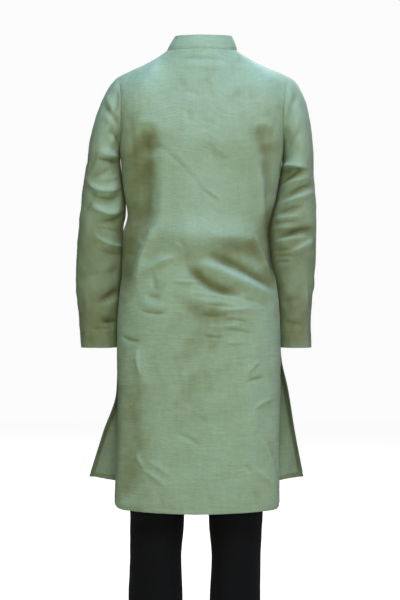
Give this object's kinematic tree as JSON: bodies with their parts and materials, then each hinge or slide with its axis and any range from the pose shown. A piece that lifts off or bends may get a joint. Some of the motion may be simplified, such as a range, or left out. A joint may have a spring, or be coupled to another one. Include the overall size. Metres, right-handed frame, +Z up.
{
  "type": "kurta_set",
  "caption": "Worn long kurta with band collar, long sleeves, front placket and side slits, over straight black trousers; hollow, open at neck, cuffs and hems",
  "frame": {"origin": "centre of the neck opening, level with the inner ends of the shoulder seams", "axes": "+Z up towards the wearer's head, +Y towards the wearer's front, +X towards the wearer's right"},
  "size_m": [0.5748, 0.2865, 1.4195],
  "materials": {
    "linen": "soft slubbed plain weave, pale sage green",
    "black_cotton": "plain black twill, matt",
    "button": "matt, dyed to match the cloth"
  },
  "bodies": {
    "root": {"back_panel": "linen", "front_panel": "linen", "sleeve_left": "linen", "sleeve_right": "linen", "collar": "linen", "placket_upper": "linen", "placket_under": "linen", "button_1": "button", "button_2": "button", "button_3": "button", "button_4": "button", "leg_left": "black_cotton", "leg_right": "black_cotton", "waistband": "black_cotton"}
  },
  "joints": []
}
